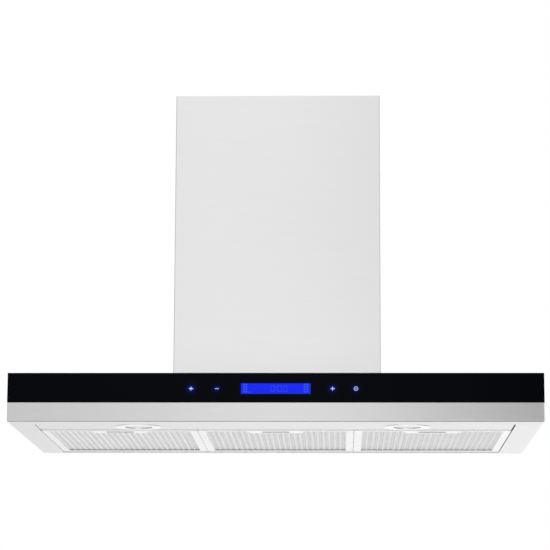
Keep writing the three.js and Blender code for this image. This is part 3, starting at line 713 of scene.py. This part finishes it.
def filter_frame(side, material):
    """A rolled frame: flat below, with a sloped inner edge, and two hooks behind."""
    lo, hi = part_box(f"filter_frame_{side}")
    rear = hi.y - HOOK
    r = 0.3 * MM
    rings = []

    def ring(inset, z):
        behind = inset + (REAR_BORDER - BORDER if inset > BORDER / 2 else 0)
        rings.append(rounded_rectangle(lo.x + inset, hi.x - inset, lo.y + inset, rear - behind, z,
                                       max(2.5 * MM - inset, 0.6 * MM)))

    for c, s in quarter(3)[::-1]:
        ring(r * (1 - c), hi.z - r * (1 - s))
    for c, s in quarter(4):
        ring(r * (1 - c), lo.z + r * (1 - s))
    ring(BORDER - 0.12 * MM, lo.z)
    ring(BORDER, lo.z + 0.12 * MM)
    ring(BORDER, lo.z + 1.5 * MM)
    ring(BORDER - 6 * MM, lo.z + 1.6 * MM)
    ring(BORDER - 6 * MM, hi.z - 1.1 * MM)
    ring(BORDER, hi.z - 1.0 * MM)
    ring(BORDER, hi.z)
    bm = bmesh.new()
    skin(bm, rings, closed_path=True)
    centre = (lo.x + hi.x) / 2
    for x in (-80 * MM, 80 * MM):
        block(bm, (centre + x - 10 * MM, rear - 1 * MM, hi.z - 3.3 * MM),
              (centre + x + 10 * MM, hi.y, hi.z - 2.1 * MM), 0.3 * MM)
    piece(f"grease_filter_frame_{side}", bm, material, f"filter_{side}", [f"filter_frame_{side}"])


def pad_levels():
    """Heights of the pads' ridges, which pass just above the frames' lower lip, and of their valleys."""
    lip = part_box("filter_frame_middle")[0].z + 1.6 * MM
    return lip + 0.15 * MM, lip + 1.75 * MM


def filter_pad(side, material):
    """The corrugated pad: flat ridges from front to rear, held in the frame's groove all round."""
    lo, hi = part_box(f"filter_pad_{side}")
    low, high = pad_levels()
    under = 5.4 * MM  # how far the pad reaches in over the frame's lips
    pitch = (hi.x - lo.x - 2 * under) / RIDGES
    # One pitch: half a ridge, the wall up, the valley, the wall down, half a ridge.
    wave = [(0.0, 0.0), (0.09, 0.02), (0.12, 0.15), (0.15, 0.6), (0.18, 0.9), (0.22, 1.0), (0.5, 0.97),
            (0.78, 1.0), (0.82, 0.9), (0.85, 0.6), (0.88, 0.15), (0.91, 0.02)]
    columns = [(lo.x, 0.0)]
    for i in range(RIDGES):
        columns += [(lo.x + under + (i + t) * pitch, depth) for t, depth in wave]
    columns += [(hi.x - under, 0.0), (hi.x, 0.0)]
    # The pad is cut back round the latch plate, whose ends slope.
    plate_lo, plate_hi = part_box(f"latch_plate_{side}")
    centre, half = (lo.x + hi.x) / 2, (plate_hi.x - plate_lo.x) / 2
    slope, gap = 5 * MM, 0.8 * MM
    corners = [centre + sign * (half + gap - cut) for sign, cut in ((-1, 0), (-1, slope), (1, slope), (1, 0))]
    for x in corners:
        after = next(i for i, column in enumerate(columns) if column[0] > x)
        (ax, a), (bx, b) = columns[after - 1], columns[after]
        columns.insert(after, (x, a + (b - a) * (x - ax) / (bx - ax)))

    def start(x):
        into = (half + gap - abs(x - centre)) / slope
        return lo.y + max(0.0, min(1.0, into)) * (plate_hi.y + gap - lo.y)

    # The corrugation is pressed flat where it enters the rear groove.
    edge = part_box(f"filter_frame_{side}")[1].y - HOOK - REAR_BORDER
    bm = bmesh.new()
    grid = []
    for x, depth in columns:
        first, last = start(x), edge - 16 * MM
        rows = [(first + (last - first) * k / 4, 1.0) for k in range(5)]
        rows += [(edge - 1 * MM, 0.28), (edge + 3 * MM, 0.1), (hi.y, 0.1)]
        grid.append([bm.verts.new((x, y, low + (high - low) * depth * share)) for y, share in rows])
    for a, b in zip(grid, grid[1:]):
        for j in range(len(a) - 1):
            bm.faces.new((a[j], b[j], b[j + 1], a[j + 1]))
    bmesh.ops.recalc_face_normals(bm, faces=bm.faces)
    bmesh.ops.solidify(bm, geom=bm.faces[:], thickness=0.5 * MM)
    piece(f"grease_filter_mesh_{side}", bm, material, f"filter_{side}", [f"filter_pad_{side}"],
          50)


# ---------- small fixings ----------
def fixings(metal):
    """The bolts in the ceiling plate's slots, and the screws of the junction box and damper collar."""
    bm = bmesh.new()
    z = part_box("ceiling_plate")[0].z
    head = z - 1.2 * MM  # under the washer
    for sx in (-1, 1):
        for sy in (-1, 1):
            x, y = sx * 147.5 * MM, sy * 70 * MM
            turned(bm, [(0.0, z), (7 * MM, z), (7 * MM, head), (0.0, head)], (x, y, 0), "Z", 32)
            hexagon = [(x + 5 * MM * math.cos(k * math.pi / 3), y + 5 * MM * math.sin(k * math.pi / 3))
                       for k in range(6)]
            extruded(bm, hexagon, head - 4 * MM, head, 0.4 * MM)
    piece("ceiling_bolts", bm, metal, "ceiling_frame")

    bm = bmesh.new()
    lo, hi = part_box("junction_cover")
    for x in (lo.x + 6 * MM, hi.x - 6 * MM):
        for y in (lo.y + 6 * MM, hi.y - 6 * MM):
            screw(bm, (x, y, hi.z), (0, 0, 1), 2.6 * MM, 1.4 * MM)
    collar_lo, collar_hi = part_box("damper_collar")
    cx, cy = (collar_lo.x + collar_hi.x) / 2, (collar_lo.y + collar_hi.y) / 2
    circle, flange = 79.5 * MM, 1.5 * MM  # of the collar's screws
    for k in range(4):
        a = math.radians(45 + 90 * k)
        screw(bm, (cx + circle * math.cos(a), cy + circle * math.sin(a), collar_lo.z + flange),
              (0, 0, 1), 2.6 * MM, 1.4 * MM)
    piece("deck_screws", bm, metal, "canopy")


# ---------- assembly of the looks ----------
def build():
    steel = brushed_steel("steel_chimney", 0.93, 0.32)
    # Painted shade: the canopy and lamp panel get a darker copy of the chimney's steel, so they read darker
    # than the chimney.
    shaded_canopy_steel = brushed_steel("steel_canopy_shaded", 0.76, 0.2)
    zinc = galvanised("zinc_coated")
    aluminium = satin_metal("aluminium_satin", 0.88, 0.27)
    latch_metal = satin_metal("latch_satin", 0.9, 0.26)
    chrome = satin_metal("chrome_satin", 0.8, 0.2, speck=1200)
    bright = satin_metal("screw_steel", 0.72, 0.28, speck=1500)
    mesh_metal = mesh_pad("aluminium_mesh", 0.97, *pad_levels())
    glass = black_glass("glass_black", mark_glows(), (*window_box(), 2.5 * MM))
    blue = lit("display_blue", (0.0095, 0.025, 0.905))
    pale_blue = lit("display_pale", (0.035, 0.085, 1.0))
    mark = lit("mark_glow", (0.56, 0.68, 1.0))
    lens = frosted("lens_frosted")
    black = moulded("plastic_black", (0.02, 0.021, 0.024, 1))
    light_grey = moulded("plastic_grey", (0.26, 0.28, 0.3, 1))
    enamel = moulded("motor_enamel", (0.025, 0.026, 0.03, 1), 0.32, 260)
    rubber = moulded("lead_sheath", (0.03, 0.03, 0.034, 1), 0.5, 1400)
    board = circuit_board("board_green")

    canopy(shaded_canopy_steel)
    chimney(steel, bright)
    fascia(glass, blue, pale_blue, mark)
    lamps(chrome, lens)
    for side in SIDES:
        filter_frame(side, aluminium)
        filter_pad(side, mesh_metal)
        refine(f"latch_plate_{side}", latch_metal, 0.25 * MM)
        refine(f"latch_slide_{side}", latch_metal, 0.25 * MM)
    fixings(bright)

    refine("lamp_panel", shaded_canopy_steel, 0.3 * MM)
    refine("ceiling_plate", zinc, 0.4 * MM)
    refine("frame_base_ring", zinc, 0.4 * MM)
    for corner in CORNERS:
        refine(f"upper_post_{corner}", zinc, 0.3 * MM)
        refine(f"lower_post_{corner}", zinc, 0.3 * MM)
    for node in ("upper_cover_front", "upper_cover_rear"):
        refine(node, steel, 0.2 * MM)
    for node in ("blower_box", "scroll_wrap", "scroll_side_left", "scroll_side_right", "motor_spider",
                 "outlet_adapter", "damper_collar", "fan_wheel", "fan_hub"):
        refine(node, zinc, 0.25 * MM)
    refine("damper_axle", bright, 0.2 * MM)
    refine("motor_shaft", bright, 0.3 * MM)
    refine("motor_body", enamel, 0.8 * MM, 3)
    for node in ("damper_flap_front", "damper_flap_rear", "lamp_module_left", "lamp_module_right"):
        refine(node, aluminium, 0.2 * MM)
    for node in ("control_cover", "power_supply", "cable_gland"):
        refine(node, black, 0.6 * MM, 3)
    for node in ("lamp_driver", "junction_box", "junction_cover"):
        refine(node, light_grey, 0.6 * MM, 3)
    refine("touch_board", board, 0.2 * MM)
    refine("display_module", black, 0.3 * MM)
    for node in ("lamp_lead_left", "lamp_lead_right", "control_lead"):
        refine(node, rubber, 0)


# ---------- studio ----------
# Brightness of the surroundings by bearing in degrees from straight ahead: a bright wall whose right part
# is in shade, and the rest of the room.
FRONT_WALL = ((-30, 0.82), (-12, 0.54), (-8, 0.555), (-6.5, 0.595), (-4.9, 0.69), (-3.3, 0.77), (-2.2, 0.8),
              (-1.3, 0.94), (-0.6, 0.97), (0.1, 0.77), (0.9, 0.63), (2, 0.62), (3, 0.53), (4.1, 0.32),
              (4.7, 0.21), (6, 0.13), (9, 0.28), (16, 0.62), (30, 0.82))
ROOM = ((0, 0.82), (30, 0.76), (45, 0.62), (70, 0.66), (90, 0.5), (110, 0.5), (135, 0.55), (155, 0.62),
        (168, 0.7), (180, 0.7))
# The light from below, by the direction's X, as a share of its full level.
BELOW_LEVEL = 1.6
BELOW = ((-1, 0.3), (-0.65, 0.33), (-0.45, 0.52), (-0.2, 0.68), (0.0, 0.83), (0.2, 0.98), (0.4, 0.95),
         (0.65, 0.4), (1, 0.3))
CEILING_LEVEL = 0.94


def staged(name, bm, material):
    """A piece of the studio, not of the object."""
    mesh = bpy.data.meshes.new(name)
    bm.to_mesh(mesh)
    bm.free()
    mesh.materials.append(material)
    obj = bpy.data.objects.new(name, mesh)
    scene.collection.objects.link(obj)
    return obj


def studio():
    """A pale floor far below the hood, and a dark card that only the steel reflects."""
    bm = bmesh.new()
    bmesh.ops.create_grid(bm, x_segments=1, y_segments=1, size=30)
    floor = staged("floor", bm, pale_floor("floor_pale"))
    floor.location = (0, 0, -6.6)

    # The card lies below the front, out of view, and gives the folded edges their dark line.
    bm = bmesh.new()
    corners = [(-3, -2.4, -2), (3, -2.4, -2), (3, -0.6, -2), (-3, -0.6, -2)]
    bm.faces.new([bm.verts.new(c) for c in corners])
    card = staged("card", bm, dark_card("card_grey"))
    card.visible_camera = False
    card.visible_shadow = False
    card.visible_diffuse = False


def surroundings():
    """Soft light from all round: a wall ahead, a room behind, a ceiling, and light from below."""
    world = bpy.data.worlds.new("studio")
    scene.world = world
    world.use_nodes = True
    w = NodeTree(world.node_tree)
    x, y, z = w.split(w.add("ShaderNodeTexCoord").outputs["Generated"])
    # The bearing from straight ahead of the front, in degrees, positive to the right.
    turn = w.math("ARCTAN2", x, w.math("MULTIPLY", y, -1.0))
    bearing = w.math("MULTIPLY", turn, 180 / math.pi)
    aside = w.math("ABSOLUTE", bearing)
    ahead = w.math("LESS_THAN", aside, FRONT_WALL[-1][0])
    # The wall is a little brighter higher up.
    wall = w.math("MULTIPLY", w.curve(bearing, FRONT_WALL), w.ramp(z, 0.125, 0.2, 1.0, 1.36))
    level = w.pick(ahead, w.curve(aside, ROOM), wall)
    upper = w.pick(w.ramp(z, 0.45, 0.8), level, CEILING_LEVEL)
    under = w.math("MULTIPLY", w.curve(x, BELOW), BELOW_LEVEL)
    light = w.pick(w.math("LESS_THAN", z, 0.0), upper, under)
    # The camera itself sees plain white.
    seen = w.blend(w.add("ShaderNodeLightPath").outputs["Is Camera Ray"], light, (1, 1, 1, 1))
    background = w.add("ShaderNodeBackground")
    w.link(seen, background.inputs["Color"])
    background.inputs["Strength"].default_value = 1.0
    output = w.add("ShaderNodeOutputWorld")
    w.link(background.outputs[0], output.inputs["Surface"])


def camera():
    """The photographer stands ahead of the front, a little to the right and below the canopy."""
    pitch, yaw, roll = 0.18108, 0.02809, -0.00383
    lens = bpy.data.cameras.new("camera")
    lens.sensor_width = 36.0
    lens.lens = 154.115
    lens.clip_start, lens.clip_end = 0.05, 200
    holder = bpy.data.objects.new("camera", lens)
    turn = Matrix.Rotation(yaw, 3, "Z") @ Matrix.Rotation(pitch, 3, "X") @ Matrix.Rotation(roll, 3, "Y")
    right, ahead, up = turn.col[0], turn.col[1], turn.col[2]
    place = Matrix((right, up, -ahead)).transposed().to_4x4()
    place.translation = (0.1092, CANOPY_LO.y - 3.9154, CANOPY_LO.z - 0.4676)
    holder.matrix_world = place
    scene.collection.objects.link(holder)
    scene.camera = holder


build()
studio()
surroundings()
camera()
bpy.context.view_layer.update()
